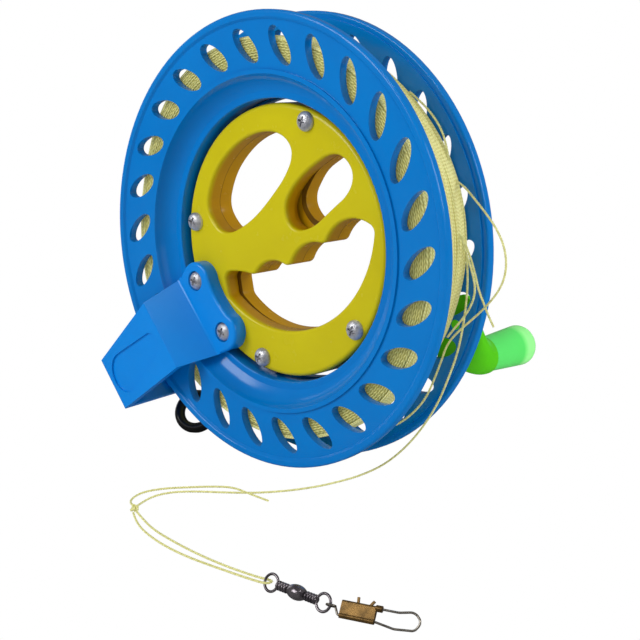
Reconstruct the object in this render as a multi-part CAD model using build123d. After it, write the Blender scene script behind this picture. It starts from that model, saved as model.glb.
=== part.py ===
from build123d import *
import math
import os

# Hand-held kite line winder. Millimetres. The spool turns about the Y axis, its front faces -Y, +Z is up,
# and the origin is on the axis, midway between the outer faces of the two flanges.

# ---- spool ----
rim_radius = 90.0             # outer radius of both flanges
spool_width = 28.8            # front rim face to back rim face
rim_lip_depth = 3.9           # length of the thickened rim along the axis
rim_lip_wall = 2.8            # thickness of the rim
band_recess = 1.0             # window band set back from the rim's face
flange_wall = 3.6             # thickness of the window band
web_wall = 2.0                # thickness of the channel's floor
drum_radius = 68.0            # outer radius of the drum that carries the line
drum_wall = 2.0
bead_height = 0.8             # raised bead between window band and channel
bead_width = 1.7
bore_radius = 56.6            # inner radius of the spool's two bore lips
bore_wall = 2.9
front_channel_depth = 7.0     # bore ring's front edge behind the front rim face
back_channel_depth = 4.0      # bore ring's back edge ahead of the back rim face
window_count = 26
window_length_share = 0.95    # of the window band's width
window_width_share = 0.43
window_slant = 41.0           # degrees from the radius
window_phase = 14.3           # degrees, first window's centre
spool_screw_count = 6
spool_screw_phase = 15.0

# ---- palm grip ----
grip_radius = 54.7
grip_thickness = 14.6
grip_middle = 2.7             # the grip's mid-plane, behind the spool's mid-plane
grip_wall = 2.4
grip_edge = 2.0               # rounding of the outer edge
opening_edge = 1.2            # rounding of the finger openings
slot_back_step = 6.0          # the slot is this much shorter in the back half
finger_front_step = 2.0       # the finger opening is this much longer in the front half
coring_depth = 1.2            # recess of the two halves' joint faces inside their walls

# ---- bearings ----
bearing_radius = 7.5
bearing_bore = 3.0
bearing_width = 5.0
bearing_circle = 50.0         # radius to the four bearing posts
bearing_angles = (73.6, 175.7, 258.0, 322.9)
running_clearance = 0.05
side_clearance = 0.2
bearing_pocket_gap = 0.5

# ---- screws ----
head_radius = 3.9
head_height = 2.6
shank_radius = 1.45
shank_clearance = 0.1         # round the shank in a clearance hole
thread_clearance = 0.02       # round the shank in the plastic that it is screwed into
cross_width = 0.9
cross_length = 4.2
cross_depth = 1.3

# ---- guide arm ----
arm_angle = 219.6             # degrees, from +X towards +Z
arm_screw_inset = 7.1         # screws inside the grip's edge, along the arm
arm_screw_spread = 12.75      # each side of the arm's centre line
arm_lobe_radius = 8.0
arm_base_top = 6.2            # above the grip's front face
arm_base_gap = 0.9            # over the bore ring's front edge
arm_wall = 3.0
arm_edge = 1.2                # rounding of the base's upper edge
arm_bend_start_beyond = 1.5   # bends past the grip's edge
arm_bend_end_beyond = 11.8
arm_bend_width = 32.0
arm_tip_beyond = 20.3         # fold past the spool's rim
arm_tip_width = 24.6
arm_front_gap = 10.8          # outer plate's face ahead of the rim face
arm_leg_inset = 5.0           # how far the folded leg leans back towards the rim
arm_leg_end = 5.0             # leg's end behind the spool's mid-plane
thumb_rest_depth = 0.8
thumb_rest_margin = 3.4       # from the plate's edges
arm_head_proud = 0.6          # screw heads above their counterbores
head_gap = 0.35               # round a screw head in its counterbore

# ---- guide ring ----
ring_beyond = 10.4            # ring centre past the spool's rim
ring_angle = 235.0
ring_outer = 9.9
ring_bore = 5.5
ring_thickness = 4.6
ring_land = 1.6               # straight length of the eye's throat
ring_turn = 42.0              # degrees the eye is swung towards the spool
stem_lean = 3.0               # degrees between the stem and the tangent through the ring's centre
stem_radius = 1.7
stem_neck = 17.3              # ring centre to the barrel's end face
stem_bead = 0.35              # raised bead that snaps into the barrel's groove
barrel_radius = 3.2
barrel_length = 11.0
barrel_end_wall = 1.4

# ---- crank knob ----
knob_inset = 4.4              # knob axis inside the rim
knob_angle = -28.0
foot_offset = 1.5             # foot centre outside the windows' centres
foot_angle = -21.0
foot_length = 29.0
foot_width = 14.8
bulb_radius = 8.2
knob_base_height = 15.6
post_radius = 4.9
sleeve_length = 27.0
sleeve_small = 6.7
sleeve_large = 8.0
sleeve_cap = 4.6
snap_lip = 0.35
peg_radius = 1.9
peg_spacing = 9.0

# ---- line ----
line_diameter = 1.1
pack_front_depth = 10.5       # wound line below the rim at the front flange
pack_back_depth = 10.7        # and at the rear flange
pack_side_gap = 0.2
turn_count = 11
turn_seat = 0.06
surface_z = -90.0             # the surface that the loose line lies on
knot_radius = 1.9

# ---- snap swivel ----
swivel_start = (91.2, -102.6, -86.9)   # centre of the line eye
swivel_heading = 0.5
snap_heading = 17.4
eye_lean = 25.0
snap_lean = 35.0
eye_radius = 2.7
eye_wire = 0.45
eye_spacing = 21.6
coil_radius = 1.55
coil_length = 3.4
barrel_case_length = 6.8
barrel_case_radius = 2.4
shaft_radius = 0.6
link_radius = 1.35
link_wire = 0.36
link_gap = 0.25               # between the link and the snap eye's wire
plate_length = 11.0
plate_height = 4.6
plate_thickness = 1.5
snap_length = 28.5
snap_width = 6.4

# ---- places worked out from the sizes above ----
half_width = spool_width / 2
grip_front_y = grip_middle - grip_thickness / 2
grip_back_y = grip_middle + grip_thickness / 2
track_radius = bearing_circle + bearing_radius + running_clearance
track_half = bearing_width / 2 + side_clearance
cavity_inner = bore_radius + bore_wall
cavity_outer = drum_radius - drum_wall
boss_circle = (cavity_inner + cavity_outer) / 2
band_inner = cavity_outer + bead_width
band_outer = rim_radius - rim_lip_wall - band_recess
window_circle = (band_inner + band_outer) / 2
window_length = window_length_share * (band_outer - band_inner)
window_width = window_width_share * (band_outer - band_inner)
arm_screw_reach = grip_radius - arm_screw_inset
arm_bend_start = grip_radius + arm_bend_start_beyond
arm_bend_end = grip_radius + arm_bend_end_beyond
arm_tip_reach = rim_radius + arm_tip_beyond
ring_distance = rim_radius + ring_beyond
knob_reach = rim_radius - knob_inset
foot_reach = window_circle + foot_offset
pack_front_radius = rim_radius - pack_front_depth
pack_back_radius = rim_radius - pack_back_depth
band_face = half_width - band_recess
band_back = band_face - flange_wall
rear_ring_y = half_width - back_channel_depth
front_ring_y = half_width - front_channel_depth


def save(node, shape):
    shape.label = node
    export_step(shape, os.path.join("parts", node + ".step"))


def polar(radius, degrees, y=0.0):
    a = math.radians(degrees)
    return Vector(radius * math.cos(a), y, radius * math.sin(a))


def along_y(radius, y0, y1, at=(0.0, 0.0, 0.0)):
    """Cylinder along Y between two depths."""
    centre = Vector(at)
    place = Plane(origin=(centre.X, y0, centre.Z), x_dir=(1, 0, 0), z_dir=(0, 1, 0))
    return extrude(place * Circle(radius), amount=y1 - y0)


def turned(points):
    """Solid of revolution about Y from (radius, y) points; a 3-tuple marks an arc's middle."""
    edges = []
    last = points[0]
    middle = None
    for p in points[1:] + points[:1]:
        if len(p) == 3:
            middle = p[:2]
            continue
        if middle is None:
            edges.append(Line(last, p))
        else:
            edges.append(ThreePointArc(last, middle, p))
        middle = None
        last = p
    return make_face(edges)


def tangent_pair(p0, t0, p1, t1):
    """Two arcs that leave p0 along t0, arrive at p1 along t1 and share a tangent where they meet."""
    v = p1 - p0
    t = t0 + t1
    k = 2 * (1 - t0.dot(t1))
    d = (-v.dot(t) + math.sqrt(v.dot(t) ** 2 + k * v.dot(v))) / k
    joint = (p0 + p1 + (t0 - t1) * d) * 0.5
    middle = (joint - p0 - t0 * d).normalized()
    first = Edge.make_tangent_arc(p0, t0, joint)
    second = Edge.make_tangent_arc(joint, middle, p1)
    return [first, second]


def smooth_loop(points):
    """Closed outline of tangent arcs through a few points."""
    p = [Vector(*q) for q in points]
    n = len(p)
    ways = [(p[(k + 1) % n] - p[k - 1]).normalized() for k in range(n)]
    edges = []
    for k in range(n):
        edges += tangent_pair(p[k], ways[k], p[(k + 1) % n], ways[(k + 1) % n])
    return make_face(edges)


# ---- spool ----
def flange_profile(side, ring_y, track):
    """Half-section of one flange; side is -1 at the front and +1 at the back."""
    s = side
    inner_lip = rim_radius - rim_lip_wall
    lip_back = half_width - rim_lip_depth
    bead_face = half_width - 0.2
    bead_outer = band_inner
    scoop = ((cavity_outer + cavity_inner) / 2 + 0.9, s * ((bead_face + ring_y) / 2 - 0.8), 0)
    web_low = ring_y - web_wall
    outline = [
        (drum_radius, 0), (drum_radius, s * band_back), (inner_lip + 0.3, s * band_back),
        (inner_lip + 0.3, s * lip_back), (rim_radius, s * lip_back), (rim_radius, s * half_width),
        (inner_lip, s * half_width), (band_outer, s * band_face),
        (bead_outer, s * band_face), (bead_outer, s * bead_face), (cavity_outer, s * bead_face),
        scoop, (cavity_inner, s * ring_y), (bore_radius, s * ring_y)]
    if track:
        top = grip_middle + track_half
        outline += [(bore_radius, top), (track_radius, top), (track_radius, 0)]
    else:
        outline += [(bore_radius, 0)]
    outline += [
        (cavity_inner, 0), (cavity_inner, s * web_low), (cavity_inner + 1.8, s * web_low),
        (cavity_outer, s * (band_back - 0.2)), (cavity_outer, 0)]
    return turned(outline)


def window_cutters():
    cut = []
    for k in range(window_count):
        angle = window_phase + k * 360.0 / window_count
        centre = polar(window_circle, angle)
        place = Plane(origin=(centre.X, -spool_width, centre.Z), x_dir=polar(1, angle + window_slant),
                      z_dir=(0, 1, 0))
        cut.append(extrude(place * Ellipse(window_length / 2, window_width / 2), amount=2 * spool_width))
    return cut


def rounded_flange(profile, side):
    """Rounds the rim, the bead and the inside corner of a flange section, then turns it."""
    def near(r, y, size):
        for v in profile.vertices():
            if abs(v.X - r) < 0.05 and abs(v.Y - y) < 0.05:
                return v, size
        return None
    wanted = [
        near(rim_radius, side * half_width, 1.1),
        near(rim_radius, side * (half_width - rim_lip_depth), 0.8),
        near(rim_radius - rim_lip_wall, side * half_width, 0.8),
        near(drum_radius, side * band_back, 1.5),
        near(bore_radius, side * (front_ring_y if side < 0 else rear_ring_y), 0.5)]
    shape = profile
    for item in wanted:
        if item is not None:
            v = shape.vertices().sort_by_distance(item[0].center())[0]
            shape = fillet(v, item[1])
    return revolve(shape, Axis.Y)


def screw_places(count, radius, phase):
    return [polar(radius, phase + k * 360.0 / count) for k in range(count)]


def spool_flange(side):
    ring_y = front_ring_y if side < 0 else rear_ring_y
    body = rounded_flange(flange_profile(side, ring_y, side > 0), side)
    boss_radius = (cavity_outer - cavity_inner) / 2 + 0.05
    floor_y = ring_y - web_wall / 2
    for c in screw_places(spool_screw_count, boss_circle, spool_screw_phase):
        boss = along_y(boss_radius, 0, side * floor_y, c)
        body += boss
    body -= window_cutters()
    if side > 0:
        for c in peg_places():
            body -= along_y(peg_radius + thread_clearance, band_back - 1, half_width, c)
    for c in screw_places(spool_screw_count, boss_circle, spool_screw_phase):
        if side < 0:
            body -= along_y(shank_radius + thread_clearance, 0, -(front_ring_y - web_wall - 0.6), c)
        else:
            body -= along_y(shank_radius + shank_clearance, -0.1, spool_width, c)
            body -= along_y(head_radius - 1.0, spool_screw_seat, spool_width, c)
    return body


spool_screw_seat = rear_ring_y - web_wall - 1.4


def pan_head_screw(length, radius=None, height=None, shank=None):
    """Screw along +Z from its seat at Z = 0: the head is below, the shank above, with a cross recess."""
    radius = radius or head_radius
    height = height or head_height
    shank = shank or shank_radius
    dome = make_face([Line((0, 0), (radius, 0)), Line((radius, 0), (radius, -0.35 * height)),
                      ThreePointArc((radius, -0.35 * height), (0.72 * radius, -0.86 * height), (0, -height)),
                      Line((0, -height), (0, 0))])
    head = revolve(Plane.XZ * dome, Axis.Z)
    scale = radius / head_radius
    for turn in (0, 90):
        slot = Box(cross_length * scale, cross_width * scale, 2 * cross_depth * scale)
        head -= Pos(0, 0, -height) * Rot(0, 0, turn + 20) * slot
    return head + extrude(Circle(shank), amount=length)


def screws_at(places, seat_y, direction, length, **sizes):
    """Copies of one screw with seats at a depth; direction is the way the shank points along Y."""
    out = []
    for c in places:
        frame = Plane(origin=(c.X, seat_y, c.Z), x_dir=(1, 0, 0), z_dir=(0, direction, 0))
        out.append(frame.location * pan_head_screw(length, **sizes))
    return out


# ---- palm grip ----
def hundredths(points):
    """Points of an opening's outline, given in hundredths of the grip's radius."""
    return [(x * grip_radius / 100, z * grip_radius / 100) for x, z in points]


def thumb_opening():
    return smooth_loop(hundredths([(-60.3, 1.5), (-75.5, 12.4), (-77.9, 26.5), (-65.8, 50.8), (-40.2, 71.7),
                                   (-11, 79), (8, 70.9), (7.7, 55.2), (-14.6, 27.8), (-38.4, 8.8)]))


def slot_opening(step):
    """The slot beside the thumb; its left end is moved to the right and up by the step."""
    across = step * math.cos(math.radians(38))
    up = step * math.sin(math.radians(38))
    end = hundredths([(12.1, 11.3), (4.4, 23.8), (11.3, 39.5)])
    rest = hundredths([(30.7, 56.5), (52.1, 65.8), (66.5, 57.6), (65.8, 43), (47.5, 26.1)])
    near, first, second = [(x + across, z + up) for x, z in end]
    low = hundredths([(28.3, 12.6)])[0]
    return smooth_loop([first, second] + rest + [(low[0] + across / 2, low[1] + up / 2), near])


def finger_opening(step):
    """Opening for four fingers: cusps above, and a left end that lies further out by the step."""
    ridges = hundredths([(-57.6, -29.6), (-28.3, -28.2), (8.2, -19.7), (43, 1.8), (88.5, 17.4)])
    crests = hundredths([(-42, -27.1), (-8.2, -15), (24.7, 0.7), (70.4, 22.7)])
    low, lower, under, left = hundredths([(68.6, -34), (27.4, -61.4), (-14.6, -65.4), (-53.9, -47.5)])
    ridges[0] = (ridges[0][0] - step, ridges[0][1])
    left = (left[0] - step, left[1])
    edges = [ThreePointArc(ridges[k], crests[k], ridges[k + 1]) for k in range(4)]
    edges.append(ThreePointArc(ridges[4], low, lower))
    edges.append(ThreePointArc(lower, under, left))
    edges.append(Line(left, ridges[0]))
    face = make_face(edges)
    cusps = [v for v in face.vertices() if any(math.hypot(v.X - x, v.Y - z) < 0.1 for x, z in ridges[1:4])]
    face = fillet(cusps, grip_wall + 1.0)
    ends = [v for v in face.vertices() if any(math.hypot(v.X - x, v.Y - z) < 0.1
                                              for x, z in (ridges[0], ridges[4], left))]
    return fillet(ends, 3.5)


def grip_openings(side):
    if side < 0:
        return [thumb_opening(), slot_opening(0.0), finger_opening(finger_front_step)]
    return [thumb_opening(), slot_opening(slot_back_step), finger_opening(0.0)]


def facing(y):
    """Drawing plane at a depth, seen from the front: X right, Z up, pulled towards -Y."""
    return Plane(origin=(0, y, 0), x_dir=(1, 0, 0), z_dir=(0, -1, 0))


def bearing_places():
    return [polar(bearing_circle, a) for a in bearing_angles]


def arm_screw_places():
    a = math.radians(arm_angle)
    u = Vector(math.cos(a), 0, math.sin(a))
    n = Vector(-math.sin(a), 0, math.cos(a))
    return [u * arm_screw_reach + n * (s * arm_screw_spread) for s in (-1, 1)]


def grip_half(side):
    """side -1 is the front half with the screw seats, +1 the back half."""
    outer_y = grip_front_y if side < 0 else grip_back_y
    body = extrude(facing(outer_y) * (Circle(grip_radius) - grip_openings(side)),
                   amount=side * grip_thickness / 2)
    rim = [e for e in body.edges() if abs(e.center().Y - outer_y) < 0.01]
    outer_edge = [e for e in rim if e.geom_type == GeomType.CIRCLE and abs(e.radius - grip_radius) < 0.1]
    body = fillet(outer_edge, grip_edge)
    near = [e for e in body.edges() if abs(e.center().Y - outer_y) < 0.01
            and e.bounding_box().max.X < grip_radius - grip_edge - 2]
    body = fillet(near, opening_edge)
    inside = Circle(grip_radius - grip_wall)
    for opening in grip_openings(side):
        inside -= offset(opening, amount=grip_wall)
    posts = []
    for c in bearing_places():
        posts.append(Pos(c.X, c.Z) * Circle(bearing_bore + 2.2))
    for c in arm_screw_places():
        posts.append(Pos(c.X, c.Z) * Circle(3.6))
    inside -= posts
    body -= extrude(facing(grip_middle) * inside, amount=-side * coring_depth)
    reach = bearing_width / 2 + side_clearance + bearing_pocket_gap
    for c in bearing_places():
        body -= along_y(bearing_radius + bearing_pocket_gap, grip_middle - reach, grip_middle + reach, c)
        body += along_y(bearing_bore - running_clearance, grip_middle, outer_y - side * 1.0, c)
        seat = grip_middle + side * bearing_width / 2
        body += along_y(bearing_bore + 0.9, seat, outer_y - side * 1.0, c)
        if side < 0:
            body -= along_y(shank_radius + shank_clearance, outer_y - 1, grip_middle + 1, c)
        else:
            body -= along_y(shank_radius + thread_clearance, grip_middle - 1, grip_back_y - 2.2, c)
    if side < 0:
        for c in arm_screw_places():
            body -= along_y(shank_radius + thread_clearance, grip_front_y - 1, grip_middle, c)
    return body


# ---- bearings ----
def bearing_outer(c):
    half = bearing_width / 2
    inner = bearing_bore + 1.2
    shield = 0.5
    shield_bore = inner + 0.1
    race = bearing_radius - 1.2
    section = turned([(bearing_radius, -half), (bearing_radius, half), (shield_bore, half),
                      (shield_bore, half - shield), (race, half - shield), (race, shield - half),
                      (shield_bore, shield - half), (shield_bore, -half)])
    return Pos(c.X, grip_middle, c.Z) * revolve(section, Axis.Y)


def bearing_inner(c):
    half = bearing_width / 2
    inner = bearing_bore + 1.2
    section = turned([(bearing_bore, -half), (inner, -half), (inner, half), (bearing_bore, half)])
    return Pos(c.X, grip_middle, c.Z) * revolve(section, Axis.Y)


# ---- guide arm ----
def arm_plan():
    """Outline of the arm in its own frame: X along the arm, Z across it."""
    tip = arm_tip_width / 2
    bend = arm_bend_width / 2
    reach = arm_screw_reach
    spread = arm_screw_spread
    lobe = arm_lobe_radius
    ahead = math.hypot(arm_bend_end - reach, bend - spread)
    start = math.degrees(math.atan2(bend - spread, arm_bend_end - reach) + math.acos(lobe / ahead))
    mid = 150.0
    end = 210.0

    def on_lobe(degrees, side):
        a = math.radians(degrees)
        return (reach + lobe * math.cos(a), side * (spread + lobe * math.sin(a)))
    edges = [Line((arm_tip_reach, -tip), (arm_tip_reach, tip)),
             Line((arm_tip_reach, tip), (arm_bend_end, bend)),
             Line((arm_bend_end, bend), on_lobe(start, 1)),
             ThreePointArc(on_lobe(start, 1), on_lobe(mid, 1), on_lobe(end, 1)),
             ThreePointArc(on_lobe(end, 1), (reach - lobe + 2.2, 0), on_lobe(end, -1)),
             ThreePointArc(on_lobe(end, -1), on_lobe(mid, -1), on_lobe(start, -1)),
             Line(on_lobe(start, -1), (arm_bend_end, -bend)),
             Line((arm_bend_end, -bend), (arm_tip_reach, -tip))]
    face = make_face(edges)
    waist = [v for v in face.vertices() if v.X < reach - 5]
    return fillet(waist, 3.0)


def arm_side():
    """Side view of the arm: X along the arm, Y the wheel's axis."""
    top = grip_front_y - arm_base_top
    under = -front_ring_y - arm_base_gap
    front = -half_width - arm_front_gap
    run = arm_bend_end - arm_bend_start
    rise = top - front
    slope = math.hypot(run, rise)
    shift_x = arm_wall * rise / slope
    shift_y = arm_wall * run / slope
    low_x = arm_bend_start + shift_x + (top + shift_y - under) * run / rise
    high_x = arm_bend_start + shift_x + (top + shift_y - front - arm_wall) * run / rise
    leg_x = arm_tip_reach - arm_leg_inset
    back_x = arm_screw_reach - arm_lobe_radius - 2
    edge_x = grip_radius - 0.6
    points = [(back_x, grip_front_y), (back_x, top), (arm_bend_start, top), (arm_bend_end, front),
              (arm_tip_reach, front), (leg_x, arm_leg_end), (leg_x - arm_wall, arm_leg_end),
              (arm_tip_reach - 1.3 * arm_wall, front + arm_wall), (high_x, front + arm_wall),
              (low_x, under), (edge_x, under), (edge_x, grip_front_y)]
    face = make_face(Polyline(*points, close=True))
    crease = [v for v in face.vertices() if abs(v.X - arm_tip_reach) < 0.01 and abs(v.Y - front) < 0.01]
    face = fillet(crease, 1.3)
    bends = [v for v in face.vertices() if abs(v.X - arm_bend_start) < 0.01 or abs(v.X - low_x) < 0.01]
    return fillet(bends, 1.5)


def stem_frame(distance):
    """Plane square to the ring's stem, a distance from the ring's centre."""
    centre = polar(ring_distance, ring_angle)
    along = polar(1, ring_angle - 90 - stem_lean)
    return Plane(origin=centre + along * distance, x_dir=(0, 1, 0), z_dir=along)


def stem_solid(gap, end_wall):
    """The ring's stem inside the barrel, with its snap bead, larger by a gap all round."""
    deep = barrel_length - end_wall
    body = extrude(stem_frame(stem_neck - 1) * Circle(stem_radius + gap), amount=deep + 1)
    bead = stem_frame(stem_neck + barrel_length - 4.0 - gap)
    return body + extrude(bead * Circle(stem_radius + stem_bead + gap), amount=1.2 + 2 * gap)


def guide_arm():
    ahead = Plane(origin=(0, -spool_width * 1.5, 0), x_dir=(1, 0, 0), z_dir=(0, 1, 0))
    body = extrude(arm_side(), amount=60, both=True) & extrude(ahead * arm_plan(), amount=3 * spool_width)
    over_ring = -front_ring_y - arm_base_gap
    body -= along_y(80, over_ring, grip_middle) - along_y(grip_radius - 0.6, over_ring - 1, grip_middle + 1)
    top = grip_front_y - arm_base_top
    joint = arm_bend_start - 2.0
    front_half = Pos(joint - grip_radius, 0, 0) * Box(2 * grip_radius, 4 * rim_radius, 4 * rim_radius)
    base = body & front_half
    soft = [e for e in base.edges() if abs(e.center().Y - top) < 0.01 and e.center().X < joint - 0.1]
    body = fillet(soft, arm_edge) + (body - front_half)
    front = -half_width - arm_front_gap
    rest = Plane(origin=(0, front - 1, 0), x_dir=(1, 0, 0), z_dir=(0, 1, 0))
    plate = arm_tip_reach - arm_bend_end
    far_radius = plate * 0.19
    near_radius = plate * 0.12
    near_x = arm_bend_end + thumb_rest_margin + near_radius
    far_x = arm_tip_reach - thumb_rest_margin - far_radius
    spread = arm_tip_width / 2 - thumb_rest_margin - far_radius
    ends = [Pos(near_x, 0) * Circle(near_radius), Pos(far_x, spread) * Circle(far_radius),
            Pos(far_x, -spread) * Circle(far_radius)]
    pear = make_hull([e for c in ends for e in c.edges()])
    body -= extrude(rest * pear, amount=1 + thumb_rest_depth)
    outside = make_face(Polyline((arm_tip_reach, front), (arm_tip_reach - arm_leg_inset, arm_leg_end),
                                 (arm_tip_reach + 20, arm_leg_end), (arm_tip_reach + 20, front), close=True))
    barrel = extrude(stem_frame(stem_neck) * Circle(barrel_radius), amount=barrel_length)
    body += barrel.rotate(Axis.Y, arm_angle) - extrude(outside, amount=60, both=True)
    body = body.rotate(Axis.Y, -arm_angle)
    body -= stem_solid(running_clearance, barrel_end_wall)
    for c in arm_screw_places():
        body -= along_y(head_radius + head_gap, top - 1, top + head_height - arm_head_proud, c)
        body -= along_y(shank_radius + shank_clearance, top, grip_front_y + 1, c)
    return body


# ---- guide ring ----
def guide_ring():
    centre = polar(ring_distance, ring_angle)
    along = polar(1, ring_angle - 90 - stem_lean)
    inward = polar(-1, ring_angle - stem_lean)
    a = math.radians(ring_turn)
    axis = Vector(0, -math.cos(a), 0) + inward * math.sin(a)
    wall = ring_outer - ring_bore
    crown = (ring_bore + 0.6 * wall, ring_thickness / 2)
    land = (ring_bore, ring_land / 2)
    flank = (ring_bore + 0.25 * wall, 0.42 * ring_thickness)
    low_crown = (crown[0], -crown[1])
    low_land = (land[0], -land[1])
    low_flank = (flank[0], -flank[1])
    section = make_face([Line(low_land, land), ThreePointArc(land, flank, crown),
                         ThreePointArc(crown, (ring_outer, 0), low_crown),
                         ThreePointArc(low_crown, low_flank, low_land)])
    frame = Plane(origin=centre, x_dir=along, z_dir=axis)
    eye = frame.location * revolve(Plane.XZ * section, Axis.Z)
    neck = make_face([
        Line((0, ring_outer - 2.2), (3.6, ring_outer - 2.2)),
        ThreePointArc((3.6, ring_outer - 2.2), (2.35, ring_outer + 2.0), (2.05, stem_neck - 0.1)),
        Line((2.05, stem_neck - 0.1), (0, stem_neck - 0.1)),
        Line((0, stem_neck - 0.1), (0, ring_outer - 2.2))])
    stem = stem_frame(0).location * revolve(Plane.XZ * neck, Axis.Z)
    return eye + stem + stem_solid(0, barrel_end_wall + side_clearance)


# ---- crank knob ----
def knob_centre():
    return polar(knob_reach, knob_angle)


def foot_frame(y):
    c = polar(foot_reach, foot_angle)
    return Plane(origin=(c.X, y, c.Z), x_dir=polar(1, foot_angle + 90), z_dir=(0, 1, 0))


def blend_frame(y, share):
    """Between the foot's centre (share 0) and the knob's axis (share 1)."""
    c = polar(foot_reach, foot_angle) * (1 - share) + knob_centre() * share
    return Plane(origin=(c.X, y, c.Z), x_dir=polar(1, foot_angle + 90), z_dir=(0, 1, 0))


def knob_base():
    seat = band_face
    top = seat + knob_base_height
    foot = extrude(foot_frame(seat) * Ellipse(foot_length / 2, foot_width / 2), amount=1.6)
    bulb = loft([foot_frame(seat + 1.6) * Ellipse(foot_length / 2 - 0.4, foot_width / 2 - 0.2),
                 blend_frame(seat + 6.5, 0.55) * Ellipse(bulb_radius + 2.2, bulb_radius + 0.2),
                 blend_frame(seat + 11.5, 0.9) * Ellipse(bulb_radius, bulb_radius - 0.3),
                 blend_frame(top, 1.0) * Circle(sleeve_small + 0.6)])
    c = knob_centre()
    end = top + sleeve_length - sleeve_cap
    body = foot + bulb + along_y(post_radius, seat + 8, end - 0.4, c)
    body += along_y(post_radius + snap_lip, end - 2.2, end - 1.0, c)
    for p in peg_places():
        body += along_y(peg_radius, seat - flange_wall, seat + 1, p)
    return body


def peg_places():
    """Two pegs of the knob's foot, on the rib between the two windows nearest to it."""
    pitch = 360.0 / window_count
    rib = window_phase + pitch * (round((foot_angle - window_phase) / pitch - 0.5) + 0.5)
    along = polar(1, rib + window_slant)
    return [polar(window_circle, rib) + along * (s * peg_spacing / 2) for s in (-1, 1)]


def knob_sleeve():
    top = band_face + knob_base_height + side_clearance
    c = knob_centre()
    end = top + sleeve_length
    inner = end - sleeve_cap
    bore = post_radius + running_clearance
    profile = make_face([
        Line((bore, top), (sleeve_small, top)),
        Line((sleeve_small, top), (sleeve_large, end - 4.5)),
        ThreePointArc((sleeve_large, end - 4.5), (sleeve_large - 0.8, end - 1.6), (sleeve_large - 3.2, end)),
        Line((sleeve_large - 3.2, end), (0, end)),
        Line((0, end), (0, inner)),
        Line((0, inner), (bore, inner)),
        Line((bore, inner), (bore, inner - 0.7)),
        Line((bore, inner - 0.7), (bore + snap_lip, inner - 0.7)),
        Line((bore + snap_lip, inner - 0.7), (bore + snap_lip, inner - 2.8)),
        Line((bore + snap_lip, inner - 2.8), (bore, inner - 2.8)),
        Line((bore, inner - 2.8), (bore, top))])
    return Pos(c.X, 0, c.Z) * revolve(profile, Axis.Y)


# ---- wound line ----
def pack_radius(y, extra=0.0):
    """Outside of the wound line at a depth."""
    share = (y + band_back) / (2 * band_back)
    return pack_front_radius + (pack_back_radius - pack_front_radius) * share + extra


def pack_core():
    side = band_back - pack_side_gap
    skin = line_diameter + turn_seat
    return revolve(turned([(drum_radius + 0.15, -side + 1.4), (drum_radius + 1.6, -side),
                           (pack_radius(-side, -skin), -side), (pack_radius(side, -skin), side),
                           (drum_radius + 1.6, side), (drum_radius + 0.15, side - 1.4)]), Axis.Y)


def helix_point(turn):
    """Centre line of the outer layer after a number of turns, and its direction."""
    side = band_back - pack_side_gap - line_diameter
    span = 2 * side
    y = -side + span * turn / turn_count
    r = pack_radius(y, -line_diameter / 2)
    a = 2 * math.pi * turn
    drop = (pack_back_radius - pack_front_radius) / (2 * band_back) * span / turn_count
    rise = span / turn_count
    here = Vector(r * math.cos(a), y, r * math.sin(a))
    way = Vector(-r * math.sin(a) * 2 * math.pi + drop * math.cos(a), rise,
                 r * math.cos(a) * 2 * math.pi + drop * math.sin(a))
    return here, way.normalized()


def tube(path, start, heading, diameter, sides=6):
    """Few-sided tube with the volume of the round line."""
    area = math.pi * diameter ** 2 / 4
    r = math.sqrt(2 * area / (sides * math.sin(2 * math.pi / sides)))
    section = Plane(origin=start, z_dir=heading) * RegularPolygon(r, sides)
    return sweep(section, path=path)


def wound_turns():
    edges = []
    points = [helix_point(k / 2) for k in range(2 * turn_count + 1)]
    first, way = points[0]
    last, last_way = points[-1]
    edges.append(Edge.make_line(first - way * line_diameter, first))
    for (p0, t0), (p1, t1) in zip(points, points[1:]):
        edges += tangent_pair(p0, t0, p1, t1)
    edges.append(Edge.make_line(last, last + last_way * line_diameter))
    path = Wire(edges)
    solid = tube(path, first - way * line_diameter, way, line_diameter)
    samples = [helix_point(k / 72)[0] for k in range(72 * turn_count + 1)]
    gap = min((samples[i] - samples[i + 72 + j]).length for i in range(0, len(samples) - 74)
              for j in (-2, -1, 0, 1, 2))
    print("wound turns: least gap to itself %.2f mm" % (gap - line_diameter))
    return solid


# ---- loose line ----
def route(points, diameter):
    """Straight runs joined by arcs as large as their runs allow."""
    p = [Vector(*q) for q in points]
    radii = []
    for a, b, c in zip(p, p[1:], p[2:]):
        turn = math.radians((b - a).get_angle(c - b))
        radii.append(0.45 * min((b - a).length, (c - b).length) / math.tan(turn / 2))
    path = FilletPolyline(*p, radius=radii)
    solid = tube(path, p[0], (p[1] - p[0]).normalized(), diameter)
    share = solid.volume / (math.pi * diameter ** 2 / 4 * path.length)
    print("  radii %s mm, volume / (section x length) %.3f" % (
        " ".join("%.0f" % r for r in radii), share))
    return solid


low = surface_z + line_diameter / 2

free_line_points = [
    (79.2, 8.8, 13.5), (81.9, 8.2, 2.0), (83.1, 7.7, -7.0), (82.8, 7.4, -16.0), (81.6, 7.0, -26.5),
    (79.8, 6.5, -35.5), (76.6, 6.0, -44.6), (72.3, 6.0, -54.5), (66.8, 6.0, -63.5), (59.5, 6.1, -72.8),
    (51.4, 6.2, -80.8), (44.3, 4.8, -86.6), (39.8, -2.5, low), (38.6, -12.0, low), (36.2, -22.5, low),
    (31.2, -33.5, low), (23.8, -43.5, low), (14.5, -51.2, low), (6.2, -57.2, low), (0.2, -63.5, low),
    (-1.9, -71.0, low), (0.4, -79.3, low), (4.3, -85.0, low + 0.9)]

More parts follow.
